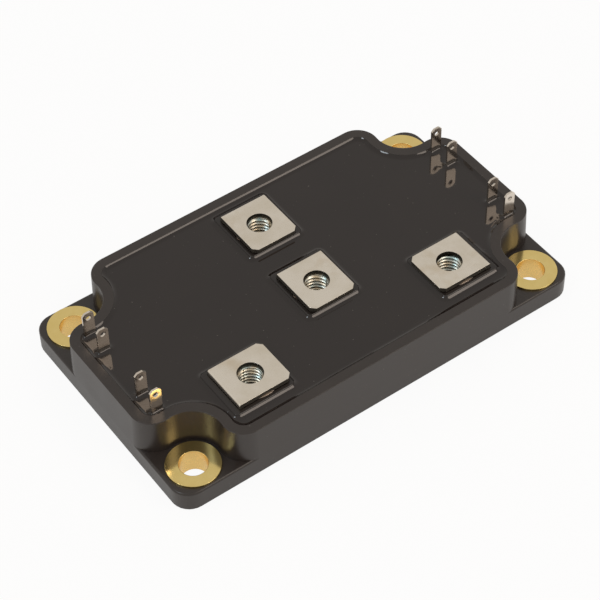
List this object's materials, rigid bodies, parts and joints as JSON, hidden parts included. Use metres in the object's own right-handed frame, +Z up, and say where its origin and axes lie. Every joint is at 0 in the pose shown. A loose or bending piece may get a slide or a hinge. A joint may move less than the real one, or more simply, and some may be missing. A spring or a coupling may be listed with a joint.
{
  "type": "igbt module",
  "caption": "Low, flat power semiconductor module with screw terminals on top, blade terminals at both ends and fixing ears at the corners.",
  "frame": {"origin": "middle of the base, on the face that sits on the heat sink", "axes": "+X along the length, +Y across it towards the side of terminal 1, +Z up, away from the heat sink"},
  "size_m": [0.1074, 0.0614, 0.0214],
  "materials": {
    "housing_plastic": "satin moulded, glass filled",
    "resin": "high gloss casting resin",
    "holder_plastic": "moulded, wetted by the resin",
    "terminal_nickel": "satin nickel plating over copper",
    "blade_nickel": "bright nickel plating",
    "nut_zinc": "zinc plated",
    "bushing_brass": "pale yellow, turned",
    "copper": "bare copper, matt",
    "ceramic": "fine white, unglazed",
    "silicon": "polished die with metal pads",
    "solder": "dull solder",
    "bond_aluminium": "soft drawn aluminium",
    "glue": "cured silicone glue",
    "gel": "clear soft silicone gel"
  },
  "bodies": {
    "root": {"housing": "housing_plastic", "bushing_1": "bushing_brass", "bushing_2": "bushing_brass", "bushing_3": "bushing_brass", "bushing_4": "bushing_brass", "ceramic_plate": "ceramic", "base_copper": "copper", "glue_seam": "glue", "track_positive": "copper", "track_phase": "copper", "track_negative": "copper", "track_gate_high": "copper", "track_gate_low": "copper", "track_sensor_back": "copper", "track_sensor_front": "copper", "switch_die_high_1": "silicon", "diode_die_high_1": "silicon", "switch_die_high_2": "silicon", "diode_die_high_2": "silicon", "switch_die_high_3": "silicon", "diode_die_high_3": "silicon", "switch_die_low_1": "silicon", "diode_die_low_1": "silicon", "switch_die_low_2": "silicon", "diode_die_low_2": "silicon", "switch_die_low_3": "silicon", "diode_die_low_3": "silicon", "sensor_chip": "ceramic", "solder_layers": "solder", "ribbons_high": "bond_aluminium", "ribbons_low": "bond_aluminium", "gate_wires": "bond_aluminium", "sense_wires": "bond_aluminium", "main_terminal_1": "terminal_nickel", "captive_nut_1": "nut_zinc", "nut_holder_1": "holder_plastic", "main_terminal_2": "terminal_nickel", "captive_nut_2": "nut_zinc", "nut_holder_2": "holder_plastic", "main_terminal_3": "terminal_nickel", "captive_nut_3": "nut_zinc", "nut_holder_3": "holder_plastic", "main_terminal_4": "terminal_nickel", "captive_nut_4": "nut_zinc", "nut_holder_4": "holder_plastic", "blade_left_1": "blade_nickel", "blade_left_2": "blade_nickel", "blade_left_3": "blade_nickel", "blade_left_4": "blade_nickel", "blade_right_1": "blade_nickel", "blade_right_2": "blade_nickel", "blade_right_3": "blade_nickel", "blade_right_4": "blade_nickel", "casting_resin": "resin", "soft_gel": "gel"}
  },
  "joints": []
}
